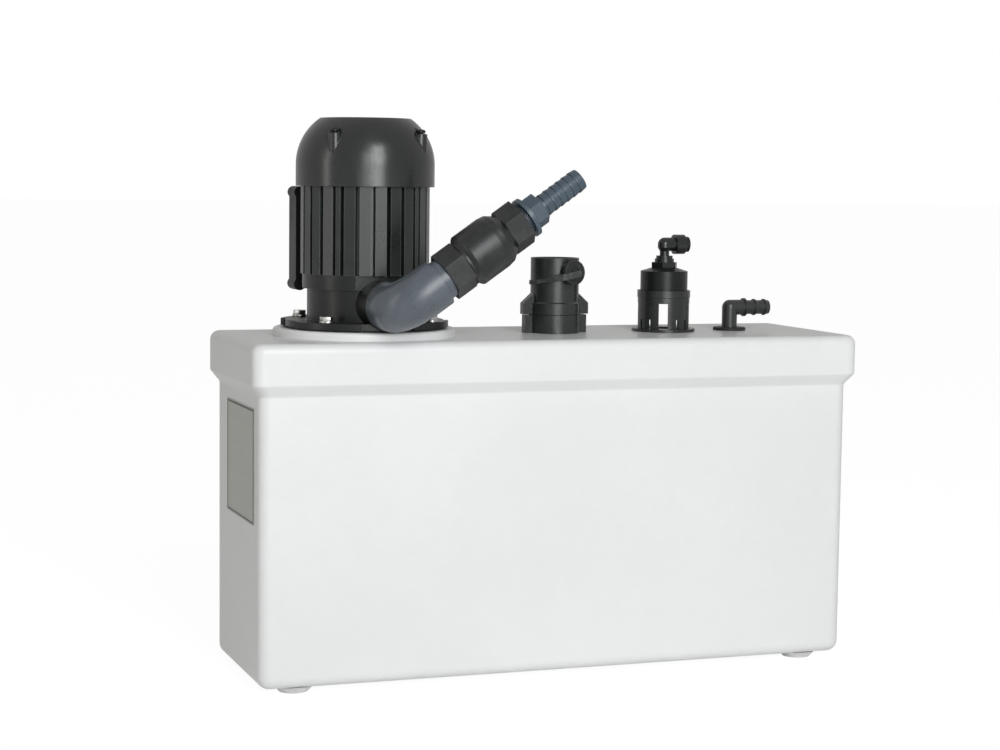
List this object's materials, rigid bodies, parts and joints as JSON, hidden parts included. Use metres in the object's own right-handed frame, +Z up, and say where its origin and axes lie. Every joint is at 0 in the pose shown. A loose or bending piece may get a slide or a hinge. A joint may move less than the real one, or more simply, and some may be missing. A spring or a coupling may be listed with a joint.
{
  "type": "brine lifting pump",
  "caption": "Tank-mounted condensate and brine lifting pump: white moulded tank, vertical finned motor, angled discharge with check valve and hose tail, inlet fittings on top.",
  "frame": {"origin": "centre of the overall footprint, on the plane that the feet stand on", "axes": "+Z up, +X along the tank from the motor's end to the overflow barb's end, +Y towards the back; the discharge line stands out at the front, on -Y"},
  "size_m": [0.519, 0.2087, 0.45],
  "materials": {
    "tank_plastic": "white, satin",
    "foot_plastic": "white",
    "plate_grey": "grey, bare",
    "brass": "turned",
    "black_rubber": "matt",
    "black_plastic": "satin",
    "cover_black": "satin",
    "motor_black": "black paint",
    "zinc_steel": "zinc plated",
    "shaft_steel": "ground",
    "core_steel": "laminated",
    "copper": "enamelled copper",
    "rotor_aluminium": "cast",
    "grey_pvc": "blue-grey, satin",
    "pump_grey": "grey",
    "valve_black": "satin",
    "bush_white": "white",
    "seal_ceramic": "matt",
    "inlet_black": "satin",
    "fitting_black": "smooth",
    "float_white": "white"
  },
  "bodies": {
    "tank_unit": {"tank": "tank_plastic", "feet": "foot_plastic", "rating_plate": "plate_grey", "tank_inserts": "brass", "pump_gasket": "black_rubber", "pump_lantern": "black_plastic", "flange_bolts": "zinc_steel", "flange_washers": "zinc_steel", "pump_column": "pump_grey", "pump_casing": "pump_grey", "shaft_bush": "bush_white", "suction_cover": "pump_grey", "casing_screws": "zinc_steel", "shaft_seal": "seal_ceramic", "motor_bracket": "motor_black", "lower_bearing": "shaft_steel", "stator_housing": "motor_black", "stator_core": "core_steel", "stator_windings": "copper", "upper_end_shield": "motor_black", "upper_bearing": "shaft_steel", "motor_tie_bolts": "zinc_steel", "fan_cover": "cover_black", "fan_cover_screws": "zinc_steel", "terminal_box": "black_plastic", "terminal_box_lid": "black_plastic", "terminal_lid_screws": "zinc_steel", "terminal_block": "bush_white", "gland_body": "black_plastic", "gland_nut": "black_plastic", "discharge_elbow": "grey_pvc", "elbow_adaptor": "grey_pvc", "valve_end": "valve_black", "valve_barrel": "valve_black", "hose_nozzle": "grey_pvc", "valve_spring": "shaft_steel", "inlet_collar": "inlet_black", "airgap_base": "inlet_black", "airgap_cage": "inlet_black", "airgap_cup": "inlet_black", "airgap_nut": "fitting_black", "barb_grommet": "black_rubber", "float_stem": "float_white", "float_stops": "float_white"},
    "rotor": {"motor_shaft": "shaft_steel", "rotor_core": "rotor_aluminium", "cooling_fan": "black_plastic", "impeller": "pump_grey", "impeller_nut": "brass"},
    "poppet": {"valve_poppet": "grey_pvc", "poppet_seal": "black_rubber"},
    "inlet_pipe": {"inlet_tube": "inlet_black", "inlet_o_ring": "black_rubber", "plug_strap": "black_rubber"},
    "side_plug": {"port_plug": "black_rubber"},
    "airgap_elbow": {"push_fit_elbow": "fitting_black"},
    "collet": {"push_fit_collet": "fitting_black"},
    "overflow_elbow": {"barb_elbow": "black_plastic"},
    "float": {"level_float": "float_white"}
  },
  "joints": [
    {"name": "rotor_spin", "type": "hinge", "parent": "tank_unit", "child": "rotor", "pos_m": [-0.1485, 0.02185, 0.3615], "axis": [0, 0, 1], "continuous": true},
    {"name": "poppet_lift", "type": "slide", "parent": "tank_unit", "child": "poppet", "axis": [0.8192, 0, 0.5736], "range_m": [0, 0.006], "stiffness_N_per_m": 100, "springref_m": -0.005, "deforming": ["valve_spring"]},
    {"name": "inlet_turn", "type": "hinge", "parent": "tank_unit", "child": "inlet_pipe", "pos_m": [0.0164, 0.02185, 0.2755], "axis": [0, 0, 1], "range_deg": [0, 35]},
    {"name": "plug_pull", "type": "slide", "parent": "inlet_pipe", "child": "side_plug", "axis": [0.2588, -0.9659, 0], "range_m": [0, 0.012], "deforming": ["plug_strap"]},
    {"name": "airgap_swivel", "type": "hinge", "parent": "tank_unit", "child": "airgap_elbow", "pos_m": [0.1161, 0.02185, 0.3491], "axis": [0, 0, 1], "continuous": true},
    {"name": "collet_press", "type": "slide", "parent": "airgap_elbow", "child": "collet", "axis": [-1, 0, 0], "range_m": [0, 0.0012]},
    {"name": "overflow_swivel", "type": "hinge", "parent": "tank_unit", "child": "overflow_elbow", "pos_m": [0.1783, 0.02185, 0.295], "axis": [0, 0, 1], "continuous": true},
    {"name": "float_slide", "type": "slide", "parent": "tank_unit", "child": "float", "axis": [0, 0, 1], "range_m": [0, 0.04]}
  ]
}
